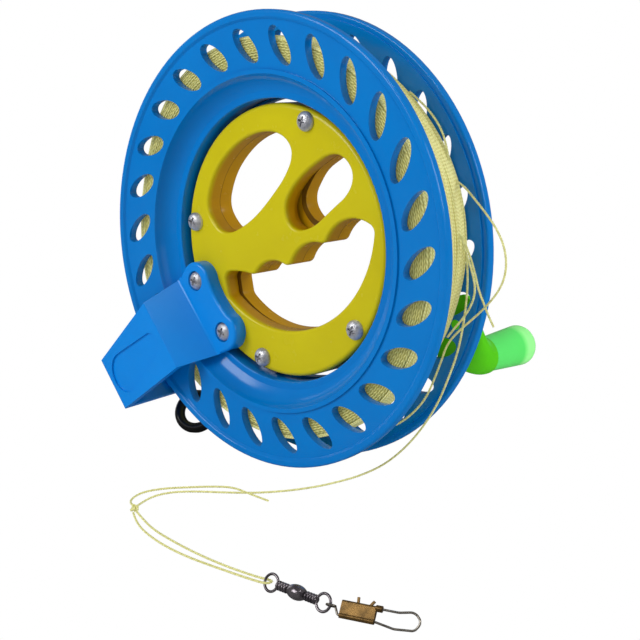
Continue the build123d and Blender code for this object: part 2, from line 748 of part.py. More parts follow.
line_tail_points = [
    (3.4, -85.6, low + 1.3), (-1.6, -83.3, low + 0.3), (-6.0, -78.6, low), (-8.3, -71.5, low),
    (-5.6, -63.5, low), (0.4, -56.6, low + 0.1), (7.8, -51.2, low + 0.8), (16.5, -48.0, low + 1.8),
    (25.5, -47.4, low + 0.9), (33.6, -46.2, low)]

side_loop_points = [
    (75.4, 8.6, 28.6), (80.4, 7.4, 27.0), (86.2, 6.2, 22.6), (91.4, 6.0, 18.0), (96.6, 5.6, 12.8),
    (100.4, 5.2, 6.6), (101.6, 5.0, -0.4), (99.6, 5.2, -7.2), (94.6, 5.4, -13.8), (87.9, 5.5, -20.2),
    (80.8, 5.5, -26.3), (75.6, 5.9, -32.0), (72.8, 6.4, -38.8), (69.3, 6.9, -46.6), (65.4, 7.0, -54.8),
    (59.6, 7.0, -61.6), (52.6, 6.9, -67.4), (45.2, 6.6, -71.0), (38.0, 6.2, -73.8)]

loose_end_points = [
    (80.6, 6.8, 9.0), (83.9, 7.2, 2.4), (86.4, 7.5, -4.7), (87.9, 7.5, -10.0), (90.6, 7.2, -14.8),
    (93.4, 6.6, -19.2), (96.1, 6.0, -22.6)]

slack_strand_points = [
    (81.3, 5.0, 9.5), (84.8, 4.6, 2.0), (87.9, 4.2, -4.5), (89.2, 4.0, -10.0), (87.6, 4.0, -15.5),
    (83.9, 4.0, -20.9), (79.8, 4.1, -25.4), (77.0, 4.2, -28.8)]

upper_loop_points = [
    (54.2, 8.5, 59.6), (57.9, 8.7, 57.0), (62.2, 8.8, 53.8), (66.4, 8.7, 49.8), (69.7, 8.5, 45.4),
    (71.6, 8.3, 40.8), (72.8, 8.2, 36.6), (73.7, 8.2, 32.8)]

knot_centre = Vector(6.0, -87.2, surface_z + knot_radius)


def swivel_frame(distance, lean=0.0):
    """Frame on the swivel's axis: X along it, Z square to the eyes' plane."""
    a = math.radians(swivel_heading)
    b = math.radians(lean)
    along = Vector(math.cos(a), math.sin(a), 0)
    side = Vector(math.sin(a), -math.cos(a), 0)
    normal = side * math.cos(b) + Vector(0, 0, 1) * math.sin(b)
    return Plane(origin=Vector(*swivel_start) + along * distance, x_dir=along, z_dir=normal)


# The leader doubles from the knot to the line eye and back, and turns round the eye's wire.
leader_points = [
    (8.0, -88.0, low + 0.9), (14.5, -90.4, low + 0.3), (24.6, -94.0, low), (38.0, -96.6, low),
    (52.5, -98.6, low + 0.1), (66.5, -99.9, low + 0.5), (77.8, -100.6, low + 1.2), (84.8, -101.0, low + 1.8),
    (90.2, -101.1, low + 2.5), (91.1, -102.6, low + 2.6), (90.1, -104.2, low + 2.5),
    (84.6, -103.7, low + 1.8), (77.0, -103.1, low + 1.1), (65.0, -102.6, low + 0.4), (51.0, -102.4, low),
    (37.0, -100.9, low), (23.5, -97.4, low), (13.4, -92.9, low + 0.2), (8.0, -89.4, low + 0.8)]


# ---- snap swivel ----
def ring_of_wire(frame, radius, wire):
    return frame.location * Torus(radius, wire)


def swivel_eye(start, direction):
    """One wire eye, its coiled neck, and the headed shaft inside the barrel."""
    eye = ring_of_wire(swivel_frame(start, eye_lean), eye_radius, eye_wire)
    frame = swivel_frame(start, eye_lean)
    neck_start = eye_radius - 0.2
    case_middle = eye_spacing / 2
    case_end = case_middle - barrel_case_length / 2
    coil_end = case_end - 0.35
    coil_step = (coil_end - eye_radius - 0.1) / 4
    outline = [Line((neck_start, 0), (neck_start, 1.0))]
    x = eye_radius + 0.1
    outline.append(Line((neck_start, 1.0), (x, 1.0)))
    for k in range(4):
        x1 = x + coil_step
        outline.append(ThreePointArc((x, 1.0), ((x + x1) / 2, coil_radius), (x1, 1.0)))
        x = x1
    head = case_end + 1.35
    outline += [Line((x, 1.0), (x, shaft_radius)), Line((x, shaft_radius), (head, shaft_radius)),
                Line((head, shaft_radius), (head, 1.25)), Line((head, 1.25), (head + 1.0, 1.25)),
                Line((head + 1.0, 1.25), (head + 1.0, 0)), Line((head + 1.0, 0), (neck_start, 0))]
    shaft = revolve(make_face(outline), Axis.X)
    if direction < 0:
        shaft = shaft.rotate(Axis.Z, 180)
    return eye + frame.location * shaft


def swivel_barrel():
    half = barrel_case_length / 2
    r = barrel_case_radius
    hole = shaft_radius + running_clearance
    wall = 0.7
    outline = [Line((-half, hole), (-half, 1.3)),
               ThreePointArc((-half, 1.3), (0, r), (half, 1.3)),
               Line((half, 1.3), (half, hole)), Line((half, hole), (half - wall, hole)),
               Line((half - wall, hole), (half - wall, 1.45)),
               ThreePointArc((half - wall, 1.45), (0, r - wall), (wall - half, 1.45)),
               Line((wall - half, 1.45), (wall - half, hole)), Line((wall - half, hole), (-half, hole))]
    frame = swivel_frame(eye_spacing / 2)
    return frame.location * revolve(make_face(outline), Axis.X)


def snap_frame(distance=0.0):
    """Frame of the snap: X along it, Y across the wire loop, from the far side of the snap eye."""
    wire_line = swivel_frame(eye_spacing + eye_radius).origin
    a = math.radians(snap_heading)
    b = math.radians(snap_lean)
    along = Vector(math.cos(a), math.sin(a), 0)
    side = Vector(math.sin(a), -math.cos(a), 0)
    normal = side * math.cos(b) + Vector(0, 0, 1) * math.sin(b)
    return Plane(origin=wire_line + along * distance, x_dir=along, z_dir=normal)


link_middle = link_radius - link_wire - eye_wire - link_gap
plate_start = link_middle + link_radius + link_wire + 1.6


def snap_plate():
    """Folded sheet: a body, a rolled lower edge for the fixed leg, two lugs and a hook for the free leg."""
    top = plate_height / 2
    body = Pos(plate_start + plate_length / 2, 0, 0) * Box(plate_length, plate_height, plate_thickness)
    body = fillet(body.edges().filter_by(Axis.X), 0.6)
    bore = link_wire + 0.05
    roll = Pos(plate_start, -top, 0) * Rot(0, 90, 0) * Cylinder(0.85, plate_length, align=(
        Align.CENTER, Align.CENTER, Align.MIN))
    body += roll
    body -= Pos(plate_start - 1, -top, 0) * Rot(0, 90, 0) * Cylinder(bore, plate_length + 2, align=(
        Align.CENTER, Align.CENTER, Align.MIN))
    for place, lean in ((0.45, 8), (0.8, -35)):
        lug = Box(0.7, 1.9, 0.7, align=(Align.CENTER, Align.MIN, Align.CENTER))
        body += Pos(plate_start + plate_length * place, top - 0.3, 0) * Rot(0, 0, lean) * lug
    hook = Pos(plate_start + plate_length - 0.2, top - 0.6, 0) * Rot(0, 90, 0) * Cylinder(1.0, 1.9, align=(
        Align.CENTER, Align.CENTER, Align.MIN))
    body += hook
    body -= Pos(plate_start + plate_length + 0.6, top - 0.6, 0) * Rot(0, 90, 0) * Cylinder(
        bore, 3, align=(Align.CENTER, Align.CENTER, Align.MIN))
    return snap_frame().location * body


def snap_wire():
    """One spring wire: the link eye, the leg in the plate's rolled edge, the open loop and the free leg."""
    top = plate_height / 2
    frame = snap_frame()
    link_plane = Plane(origin=frame.origin + frame.x_dir * link_middle, x_dir=frame.x_dir, z_dir=frame.y_dir)
    link = link_plane.location * Torus(link_radius, link_wire)
    half = snap_width / 2
    end = snap_length
    points = [(link_middle + link_radius, 0), (plate_start - 0.7, -top),
              (plate_start + plate_length + 0.6, -top), (end - 7.5, -half), (end - 1.2, -half + 0.6),
              (end + 0.4, 0.2), (end - 2.2, half - 0.5),
              (end - 7.0, top - 0.6), (plate_start + plate_length + 0.8, top - 0.6)]
    radii = [0.8, 6, 5, 2.0, 2.0, 3.0, 6]
    path = FilletPolyline(*points, radius=radii)
    start = Plane(origin=(points[0][0], points[0][1], 0), z_dir=Vector(points[1][0] - points[0][0],
                                                                     points[1][1] - points[0][1], 0))
    leg = sweep(start * Circle(link_wire), path=path)
    return link + frame.location * leg


def line_knot():
    c = knot_centre
    core = Pos(c.X, c.Y, c.Z) * Sphere(knot_radius)
    a = Pos(c.X, c.Y, c.Z) * Rot(35, 20, 30) * Torus(knot_radius - 0.35, line_diameter / 2)
    return core + a


def make_parts():
    save("grip_front", grip_half(-1))
    save("grip_rear", grip_half(1))
    seat = grip_front_y
    save("grip_screws", Compound(screws_at(bearing_places(), seat, 1, grip_thickness - 4.2)))
    save("guide_arm", guide_arm())
    arm_seat = grip_front_y - arm_base_top + head_height - arm_head_proud
    save("arm_screws", Compound(screws_at(arm_screw_places(), arm_seat, 1, 9.0)))
    save("bearing_inner_rings", Compound([bearing_inner(c) for c in bearing_places()]))
    for k, c in enumerate(bearing_places()):
        save("bearing_outer_%d" % (k + 1), bearing_outer(c))
    save("spool_front_flange", spool_flange(-1))
    save("spool_rear_flange", spool_flange(1))
    save("spool_screws", Compound(screws_at(screw_places(spool_screw_count, boss_circle, spool_screw_phase),
                                            spool_screw_seat, -1, spool_screw_seat + 4.0,
                                            radius=head_radius - 1.2, height=1.8)))
    save("wound_core", pack_core())
    save("wound_turns", wound_turns())
    save("knob_base", knob_base())
    save("knob_sleeve", knob_sleeve())
    save("guide_ring", guide_ring())
    cords = {"free_line": free_line_points, "line_tail": line_tail_points, "side_loop": side_loop_points,
             "loose_end": loose_end_points, "slack_strand": slack_strand_points,
             "upper_loop": upper_loop_points, "leader_loop": leader_points}
    for node, points in cords.items():
        print(node)
        save(node, route(points, line_diameter))
    save("line_knot", line_knot())
    save("swivel_line_eye", swivel_eye(0.0, 1))
    save("swivel_barrel", swivel_barrel())
    save("swivel_snap_eye", swivel_eye(eye_spacing, -1))
    save("snap_plate", snap_plate())
    save("snap_wire", snap_wire())


os.makedirs("parts", exist_ok=True)
make_parts()
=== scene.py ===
"""Kite line winder: the visible pieces, finishes, light and camera over its CAD model."""
import math
import random

import bmesh
import bpy
from bpy.props import FloatProperty, FloatVectorProperty, IntProperty, PointerProperty
from mathutils import Matrix, Vector


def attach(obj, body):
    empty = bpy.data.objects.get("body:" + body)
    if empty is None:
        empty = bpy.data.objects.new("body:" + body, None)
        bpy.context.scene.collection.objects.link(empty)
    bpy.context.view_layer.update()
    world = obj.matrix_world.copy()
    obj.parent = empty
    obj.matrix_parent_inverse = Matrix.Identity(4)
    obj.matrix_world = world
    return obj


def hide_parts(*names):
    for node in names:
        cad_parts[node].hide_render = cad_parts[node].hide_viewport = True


bl_info = {
    "name": "Kite Line Winder",
    "version": (1, 0),
    "blender": (4, 5, 0),
    "location": "View3D > Sidebar > Line Winder",
    "description": "Finishes, loose line and wound line for a hand-held kite line winder",
    "category": "Add Mesh",
}

MM = 0.001
FLOOR = -0.0906           # height of the table top under the wheel, in metres
PACK_INNER = 68.3         # the wound line's radii and half width, in millimetres
PACK_OUTER = 78.3
PACK_HALF = 9.0
PACK_SIDE = 9.15
STRANDS = 78.9            # radius of the outer strands' centres
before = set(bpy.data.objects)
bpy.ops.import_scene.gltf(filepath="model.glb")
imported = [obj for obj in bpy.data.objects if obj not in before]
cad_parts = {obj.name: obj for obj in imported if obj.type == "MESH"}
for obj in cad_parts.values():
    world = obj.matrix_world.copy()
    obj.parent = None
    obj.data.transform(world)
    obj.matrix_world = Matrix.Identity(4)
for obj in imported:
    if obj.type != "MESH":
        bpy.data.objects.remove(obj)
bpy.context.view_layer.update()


# ---- shader maths ----
class Shade:
    """A shader socket or number that does maths by adding nodes."""

    def __init__(self, tree, socket):
        self.tree = tree
        self.socket = socket

    def maths(self, operation, *others):
        n = self.tree.nodes.new("ShaderNodeMath")
        n.operation = operation
        for slot, value in zip(n.inputs, (self,) + others):
            link(self.tree, value, slot)
        return Shade(self.tree, n.outputs[0])

    def __add__(self, other):
        return self.maths("ADD", other)

    def __sub__(self, other):
        return self.maths("SUBTRACT", other)

    def __mul__(self, other):
        return self.maths("MULTIPLY", other)

    def __truediv__(self, other):
        return self.maths("DIVIDE", other)

    def __radd__(self, other):
        return self + other

    def __rmul__(self, other):
        return self * other

    def __rsub__(self, other):
        return self * -1.0 + other

    def __pow__(self, other):
        return self.maths("POWER", other)

    def sine(self):
        return self.maths("SINE")

    def clamp(self):
        n = self.tree.nodes.new("ShaderNodeClamp")
        link(self.tree, self, n.inputs[0])
        return Shade(self.tree, n.outputs[0])


def link(tree, value, slot):
    """Feeds a socket with another socket, or with a plain number or colour."""
    if isinstance(value, Shade):
        tree.links.new(value.socket, slot)
    else:
        slot.default_value = value


def node(tree, kind, output=0, settings=None, **inputs):
    """Adds one node, sets its inputs by name and gives back one output."""
    n = tree.nodes.new("ShaderNode" + kind)
    for key, value in (settings or {}).items():
        setattr(n, key, value)
    for key, value in inputs.items():
        link(tree, value, n.inputs[key.replace("_", " ")])
    return Shade(tree, n.outputs[output])


def finish(name, **fixed):
    """A new material with a Principled surface, and its tree and surface."""
    mat = bpy.data.materials.new(name)
    mat.use_nodes = True
    tree = mat.node_tree
    surface = next(n for n in tree.nodes if n.type == "BSDF_PRINCIPLED")
    for key, value in fixed.items():
        surface.inputs[key.replace("_", " ")].default_value = value
    return mat, tree, surface


def blend_colours(tree, amount, first, second):
    """Mix of two colours by an amount from 0 to 1."""
    n = tree.nodes.new("ShaderNodeMix")
    n.data_type = "RGBA"
    link(tree, amount, n.inputs[0])
    link(tree, first, n.inputs[6])
    link(tree, second, n.inputs[7])
    return Shade(tree, n.outputs[2])


def rgb(r, g, b):
    """Screen colour, 0 to 255, as linear light."""
    def one(c):
        c = c / 255
        return c / 12.92 if c <= 0.04045 else ((c + 0.055) / 1.055) ** 2.4
    return (one(r), one(g), one(b), 1.0)


def object_place(tree):
    return Shade(tree, tree.nodes.new("ShaderNodeTexCoord").outputs["Object"])


SEAM_HALF = 0.00022       # half the width of the shadow between two halves, in metres
NO_SEAM = -1.0            # a place past the whole object


def moulded(name, colour, shade, rough=0.22, coat=0.07, grain=900.0, relief=0.06, deep=None, **more):
    """Injection-moulded gloss plastic: slow colour drift, faint flow marks and a fine orange peel.

    deep gives a second colour past a place along the wheel's axis, the run over which it comes in,
    and where a painted shadow lies along the seam between two halves; on the grip that second colour is
    painted shade on the opening walls.
    """
    mat, tree, surface = finish(name, Coat_Weight=coat, Coat_Roughness=0.06, Specular_IOR_Level=0.27, **more)
    place = object_place(tree)
    drift = node(tree, "TexNoise", Vector=place, Scale=28.0, Detail=2.0, Roughness=0.5)
    flow = node(tree, "TexNoise", Vector=place, Scale=150.0, Detail=3.0, Roughness=0.6)
    peel = node(tree, "TexNoise", Vector=place, Scale=grain, Detail=2.0)
    amount = (drift * 0.75 + flow * 0.25 - 0.28) * 2.0
    tint = blend_colours(tree, amount.clamp(), colour, shade)
    if deep:
        wall_shade_and_far_tone, start, run, seam = deep
        split = tree.nodes.new("ShaderNodeSeparateXYZ")
        link(tree, place, split.inputs[0])
        y = Shade(tree, split.outputs[1])
        # Past the start the colour blends to the deep colour along the axis; on the grip this is painted
        # shade darkening the walls of the openings with depth.
        tint = blend_colours(tree, ((y - start) / run).clamp(), tint, wall_shade_and_far_tone)
        # Painted shadow: a dark brown line along the seam between the two halves.
        off_seam_shadow = ((y - seam).maths("ABSOLUTE") / SEAM_HALF).clamp()
        tint = blend_colours(tree, off_seam_shadow, rgb(96, 66, 6), tint)
    link(tree, tint, surface.inputs["Base Color"])
    link(tree, flow * 0.10 + (rough - 0.05), surface.inputs["Roughness"])
    bump = node(tree, "Bump", Height=peel * 0.7 + flow * 0.3, Strength=relief, Distance=0.0004)
    link(tree, bump, surface.inputs["Normal"])
    return mat


def plated(name, colour, shade, rough=0.18, relief=0.15, grain=700.0, metal=0.75):
    """Plated metal with uneven tarnish and fine tumbling marks."""
    mat, tree, surface = finish(name, Metallic=metal)
    place = object_place(tree)
    stain = node(tree, "TexNoise", Vector=place, Scale=320.0, Detail=3.0, Roughness=0.6)
    marks = node(tree, "TexNoise", Vector=place, Scale=grain * 3, Detail=3.0, Roughness=0.7)
    tint = blend_colours(tree, ((stain - 0.35) * 3.0).clamp(), colour, shade)
    link(tree, tint, surface.inputs["Base Color"])
    link(tree, stain * 0.2 + (rough - 0.08), surface.inputs["Roughness"])
    link(tree, node(tree, "Bump", Height=marks, Strength=relief, Distance=0.0002), surface.inputs["Normal"])
    return mat


def twisted_line(name, pale, deep, glow=0.1):
    """Twisted line: the lay runs along the UV map, so every strand has its slanting yarns; its emission is a
    painted glow.
    """
    mat, tree, surface = finish(name, Sheen_Weight=0.15, Specular_IOR_Level=0.3, Emission_Strength=glow)
    uv = node(tree, "UVMap", settings={"uv_map": "lay"})
    split = tree.nodes.new("ShaderNodeSeparateXYZ")
    link(tree, uv, split.inputs[0])
    along = Shade(tree, split.outputs[0])
    around = Shade(tree, split.outputs[1])
    turns = (along + around) * (2 * math.pi)
    yarn = turns.sine() * 0.5 + 0.5
    place = object_place(tree)
    drift = node(tree, "TexNoise", Vector=place, Scale=90.0, Detail=2.0)
    fuzz = node(tree, "TexNoise", Vector=place, Scale=2600.0, Detail=2.0)
    amount = (yarn * 0.5 + drift * 0.35 + fuzz * 0.4 - 0.05).clamp()
    tint = blend_colours(tree, amount, deep, pale)
    link(tree, tint, surface.inputs["Base Color"])
    # Painted light: the line glows in its own colours.
    link(tree, tint, surface.inputs["Emission Color"])
    link(tree, fuzz * 0.25 + 0.42, surface.inputs["Roughness"])
    bump = node(tree, "Bump", Height=yarn * 0.8 + fuzz * 0.3, Strength=0.4, Distance=0.0002)
    link(tree, bump, surface.inputs["Normal"])
    return mat


def wound_side(name, pale, deep, pitch, lay):
    """Side of the wound line: rings of slanting yarns, read from the distance to the axis, with painted shade
    in the grooves between rings and a painted glow.
    """
    # Emission makes the sides glow in their own colours: painted light.
    mat, tree, surface = finish(name, Sheen_Weight=0.15, Specular_IOR_Level=0.3, Emission_Strength=0.12)
    place = object_place(tree)
    split = tree.nodes.new("ShaderNodeSeparateXYZ")
    link(tree, place, split.inputs[0])
    x = Shade(tree, split.outputs[0])
    z = Shade(tree, split.outputs[2])
    radius = (x * x + z * z) ** 0.5
    angle = z.maths("ARCTAN2", x)
    row = radius / pitch
    inside = row.maths("FRACT")
    layer = row.maths("FLOOR")
    lean = layer.maths("MODULO", 2.0) * 1.6 - 0.8
    yarn = ((angle * (0.078 / lay) + layer * 0.37 + inside * lean) * (2 * math.pi)).sine() * 0.5 + 0.5
    # Painted shade: the colour darkens in the groove between two rings, and the same groove sinks the bump.
    groove_and_shade = ((inside - 0.5) * (inside - 0.5) * 3.6).clamp()
    fuzz = node(tree, "TexNoise", Vector=place, Scale=2400.0, Detail=2.0)
    amount = (yarn * 0.6 + fuzz * 0.45 + 0.15 - groove_and_shade).clamp()
    tint = blend_colours(tree, amount, deep, pale)
    link(tree, tint, surface.inputs["Base Color"])
    link(tree, tint, surface.inputs["Emission Color"])
    link(tree, fuzz * 0.2 + 0.5, surface.inputs["Roughness"])
    bump = node(tree, "Bump", Height=yarn * 0.6 - groove_and_shade + fuzz * 0.2, Strength=0.6, Distance=0.0004)
    link(tree, bump, surface.inputs["Normal"])
    return mat


# ---- small helpers ----
def options():
    return bpy.context.scene.line_winder


def dress(names, mat, weld=0.0):
    """Gives CAD nodes a finish, and where asked a fine rounding of their sharp edges."""
    for name in names:
        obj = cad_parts[name]
        obj.data.materials.clear()
        obj.data.materials.append(mat)
        if weld:
            merge = obj.modifiers.new("merge", "WELD")
            merge.merge_threshold = 1e-6
            flat = obj.modifiers.new("flats", "DECIMATE")
            flat.decimate_type = "DISSOLVE"
            flat.angle_limit = math.radians(0.4)
            soft = obj.modifiers.new("edges", "BEVEL")
            soft.width = weld
            soft.segments = 3
            soft.limit_method = "ANGLE"
            soft.angle_limit = math.radians(40)
            soft.use_clamp_overlap = True
            soft.harden_normals = True


def nurbs_points(points):
    """Points along a smooth route whose control points are given in millimetres."""
    curve = bpy.data.curves.new("route", "CURVE")
    curve.dimensions = "3D"
    curve.resolution_u = 16
    spline = curve.splines.new("NURBS")
    spline.points.add(len(points) - 1)
    for p, q in zip(spline.points, points):
        p.co = (q[0] * MM, q[1] * MM, q[2] * MM, 1.0)
    spline.order_u = 3
    spline.use_endpoint_u = True
    holder = bpy.data.objects.new("route", curve)
    mesh = bpy.data.meshes.new_from_object(holder)
    out = [v.co.copy() for v in mesh.vertices]
    bpy.data.objects.remove(holder)
    bpy.data.curves.remove(curve)
    bpy.data.meshes.remove(mesh)
    return out


def even(points, step):
    """The same path with its points a step apart."""
    out = [points[0]]
    left = step
    for a, b in zip(points, points[1:]):
        run = (b - a).length
        at = left
        while at < run:
            out.append(a.lerp(b, at / run))
            at += step
        left = at - run
    out.append(points[-1])
    return out


def path_length(points):
    return sum((b - a).length for a, b in zip(points, points[1:]))


def sweep_strand(bm, uv, points, radius, sides, offset=0.0, lay=0.003, start=0.0, closed=False):
    """Tube along points; with an offset it coils round them once in each lay."""
    normal = Vector((0.3, 0.2, 0.93)).normalized()
    rings = []
    run = 0.0
    count = len(points)
    for k, p in enumerate(points):
        before = points[k - 1] if k or closed else p
        after = points[(k + 1) % count] if k < count - 1 or closed else p
        way = (after - before).normalized()
        normal = (normal - way * normal.dot(way)).normalized()
        side = way.cross(normal)
        if k:
            run += (p - points[k - 1]).length
        turn = 2 * math.pi * run / lay + start
        centre = p + (normal * math.cos(turn) + side * math.sin(turn)) * offset
        ring = []
        for j in range(sides):
            a = 2 * math.pi * j / sides
            ring.append(bm.verts.new(centre + (normal * math.cos(a) + side * math.sin(a)) * radius))
        rings.append((ring, run))
    last = len(rings) if closed else len(rings) - 1
    for k in range(last):
        ring, run0 = rings[k]
        other, run1 = rings[(k + 1) % len(rings)]
        if run1 < run0:
            run1 = run0 + (points[0] - points[-1]).length
        for j in range(sides):
            i = (j + 1) % sides
            face = bm.faces.new((ring[j], ring[i], other[i], other[j]))
            face.smooth = True
            for loop, (u, v) in zip(face.loops, ((run0, j), (run0, j + 1), (run1, j + 1), (run1, j))):
                loop[uv].uv = (u / lay + start, v / sides)
    if not closed:
        bm.faces.new(list(reversed(rings[0][0])))
        bm.faces.new(rings[-1][0])


# Where the line lies unevenly: height in millimetres, angle round the axis, and how narrow it is.
HEAP = (3.0, 0.12, 6)
BULGES = ((4.0, 2.25, 6), (3.0, 3.5, 8))
DIP = (3.4, -1.05, 2)


def lobe(t, height, angle, narrow):
    return height * max(0.0, math.cos(t - angle)) ** narrow


def share(y, start, run):
    """From 0 at a start to 1 a run further back."""
    return min(1.0, max(0.0, (y - start) / run))


def swell(t, y):
    """How far the wound line stands out over its plain radius, in millimetres, at an angle and a place."""
    out = lobe(t, *HEAP) * share(y, -6.0, 15.0) + sum(lobe(t, *bulge) for bulge in BULGES)
    return out - lobe(t, *DIP) * share(y, -2.0, 11.0)


def new_piece(name, bm, mat, body):
    """Makes an object of a finished mesh, with its faces outwards."""
    bmesh.ops.recalc_face_normals(bm, faces=bm.faces)
    mesh = bpy.data.meshes.new(name)
    bm.to_mesh(mesh)
    bm.free()
    obj = bpy.data.objects.new(name, mesh)
    bpy.context.scene.collection.objects.link(obj)
    mesh.materials.append(mat)
    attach(obj, body)
    return obj


def three_strands(bm, uv, points, diameter, lay, sides=5):
    """Three strands laid up round one path."""
    for k in range(3):
        sweep_strand(bm, uv, points, diameter * 0.215, sides, diameter * 0.235, lay, k * 2 * math.pi / 3)


# ---- the loose line's routes, in millimetres, as in the part's source ----
LOW = -89.45

ROUTES = {
    "free_line": [
        (79.2, 8.8, 13.5), (81.9, 8.2, 2.0), (83.1, 7.7, -7.0), (82.8, 7.4, -16.0), (81.6, 7.0, -26.5),
        (79.8, 6.5, -35.5), (76.6, 6.0, -44.6), (72.3, 6.0, -54.5), (66.8, 6.0, -63.5), (59.5, 6.1, -72.8),
        (51.4, 6.2, -80.8), (44.3, 4.8, -86.6), (39.8, -2.5, LOW), (38.6, -12.0, LOW), (36.2, -22.5, LOW),
        (31.2, -33.5, LOW), (23.8, -43.5, LOW), (14.5, -51.2, LOW), (6.2, -57.2, LOW), (0.2, -63.5, LOW),
        (-1.9, -71.0, LOW), (0.4, -79.3, LOW), (4.3, -85.0, LOW + 0.9)],
    "line_tail": [
        (3.4, -85.6, LOW + 1.3), (-1.6, -83.3, LOW + 0.3), (-6.0, -78.6, LOW), (-8.3, -71.5, LOW),
        (-5.6, -63.5, LOW), (0.4, -56.6, LOW + 0.1), (7.8, -51.2, LOW + 0.8), (16.5, -48.0, LOW + 1.8),
        (25.5, -47.4, LOW + 0.9), (33.6, -46.2, LOW)],
    "side_loop": [
        (75.4, 8.6, 28.6), (80.4, 7.4, 27.0), (86.2, 6.2, 22.6), (91.4, 6.0, 18.0), (96.6, 5.6, 12.8),
        (100.4, 5.2, 6.6), (101.6, 5.0, -0.4), (99.6, 5.2, -7.2), (94.6, 5.4, -13.8), (87.9, 5.5, -20.2),
        (80.8, 5.5, -26.3), (75.6, 5.9, -32.0), (72.8, 6.4, -38.8), (69.3, 6.9, -46.6), (65.4, 7.0, -54.8),
        (59.6, 7.0, -61.6), (52.6, 6.9, -67.4), (45.2, 6.6, -71.0), (38.0, 6.2, -73.8)],
    "loose_end": [
        (80.6, 6.8, 9.0), (83.9, 7.2, 2.4), (86.4, 7.5, -4.7), (87.9, 7.5, -10.0), (90.6, 7.2, -14.8),
        (93.4, 6.6, -19.2), (96.1, 6.0, -22.6)],
    "slack_strand": [
        (81.3, 5.0, 9.5), (84.8, 4.6, 2.0), (87.9, 4.2, -4.5), (89.2, 4.0, -10.0), (87.6, 4.0, -15.5),
        (83.9, 4.0, -20.9), (79.8, 4.1, -25.4), (77.0, 4.2, -28.8)],
    "upper_loop": [
        (54.2, 8.5, 59.6), (57.9, 8.7, 57.0), (62.2, 8.8, 53.8), (66.4, 8.7, 49.8), (69.7, 8.5, 45.4),
        (71.6, 8.3, 40.8), (72.8, 8.2, 36.6), (73.7, 8.2, 32.8)],
    "leader_loop": [
        (8.0, -88.0, LOW + 0.9), (14.5, -90.4, LOW + 0.3), (24.6, -94.0, LOW), (38.0, -96.6, LOW),
        (52.5, -98.6, LOW + 0.1), (66.5, -99.9, LOW + 0.5), (77.8, -100.6, LOW + 1.2),
        (84.8, -101.0, LOW + 1.8),
        (90.2, -101.1, LOW + 2.5), (91.1, -102.6, LOW + 2.6), (90.1, -104.2, LOW + 2.5),
        (84.6, -103.7, LOW + 1.8), (77.0, -103.1, LOW + 1.1), (65.0, -102.6, LOW + 0.4), (51.0, -102.4, LOW),
        (37.0, -100.9, LOW), (23.5, -97.4, LOW), (13.4, -92.9, LOW + 0.2), (8.0, -89.4, LOW + 0.8)],
}


class WinderSettings(bpy.types.PropertyGroup):
    """Sizes and colours of the winder's visible pieces."""
    line_diameter: FloatProperty(name="Line diameter", description="Across one twisted line",
                                 default=0.0010, unit="LENGTH")
    line_lay: FloatProperty(name="Lay", description="Length of one full twist", default=0.0030, unit="LENGTH")
    wraps: IntProperty(name="Wraps", description="Strands on the outside of the wound line", default=66)
    line_colour: FloatVectorProperty(name="Line", description="Colour of the line's bright yarns",
                                     subtype="COLOR", size=4, default=rgb(236, 234, 168))
    blue: FloatVectorProperty(name="Spool", description="Colour of the spool and the arm",
                              subtype="COLOR", size=4, default=rgb(0, 124, 206))
    olive: FloatVectorProperty(name="Grip", description="Colour of the palm grip",
                               subtype="COLOR", size=4, default=rgb(208, 196, 10))
    lime: FloatVectorProperty(name="Knob foot", description="Colour of the knob's foot",
                              subtype="COLOR", size=4, default=rgb(96, 212, 22))
    mint: FloatVectorProperty(name="Knob sleeve", description="Colour of the turning sleeve",
                              subtype="COLOR", size=4, default=rgb(168, 254, 162))


class WINDER_OT_camera(bpy.types.Operator):
    """Sets up the camera at the photograph's viewing angle"""
    bl_idname = "winder.camera"
    bl_label = "Camera"

    def execute(self, context):
        data = bpy.data.cameras.new("camera")
        data.lens = 70.86
        data.sensor_width = 36.0
        data.clip_start = 0.01
        data.clip_end = 20.0
        camera = bpy.data.objects.new("camera", data)
        camera.location = (0.34899, -0.36052, 0.07182)
        camera.rotation_euler = (math.radians(90 - 11.76), 0.0, math.radians(42.63))
        context.scene.collection.objects.link(camera)
        context.scene.camera = camera
        return {"FINISHED"}


class WINDER_OT_loose_line(bpy.types.Operator):
    """Lays the loose line: its free end, its doubled leader and the slack turns at the side"""
    bl_idname = "winder.loose_line"
    bl_label = "Loose line"

    def execute(self, context):
        o = options()
        mat = twisted_line("twisted line", o.line_colour, rgb(192, 188, 104))
        for name, route in ROUTES.items():
            path = nurbs_points(route)
            fine = even(path, 0.00036)
            bm = bmesh.new()
            uv = bm.loops.layers.uv.new("lay")
            three_strands(bm, uv, fine, o.line_diameter, o.line_lay)
            obj = new_piece("loose_" + name, bm, mat, "grip")
            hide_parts(name)
            path_length(path)
        return {"FINISHED"}


class WINDER_OT_knot(bpy.types.Operator):
    """Ties the knot where the line becomes the doubled leader"""
    bl_idname = "winder.knot"
    bl_label = "Leader knot"

    def execute(self, context):
        o = options()
        mat = bpy.data.materials["twisted line"]
        centre = Vector((6.0, -87.2, -88.1)) * MM
        tilt = Matrix.Rotation(math.radians(25), 3, "X") @ Matrix.Rotation(math.radians(-20), 3, "Z")
        bm = bmesh.new()
        uv = bm.loops.layers.uv.new("lay")
        points = []
        for k in range(120):
            t = 2 * math.pi * k / 120
            p = Vector((math.sin(t) + 2 * math.sin(2 * t), math.cos(t) - 2 * math.cos(2 * t),
                        -1.25 * math.sin(3 * t)))
            points.append(centre + tilt @ (p * 0.46 * MM))
        for k in range(3):
            sweep_strand(bm, uv, points, o.line_diameter * 0.27, 6, o.line_diameter * 0.25,
                         path_length(points + points[:1]) / 6, k * 2 * math.pi / 3, closed=True)
        obj = new_piece("leader_knot", bm, mat, "grip")
        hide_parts("line_knot")
        return {"FINISHED"}


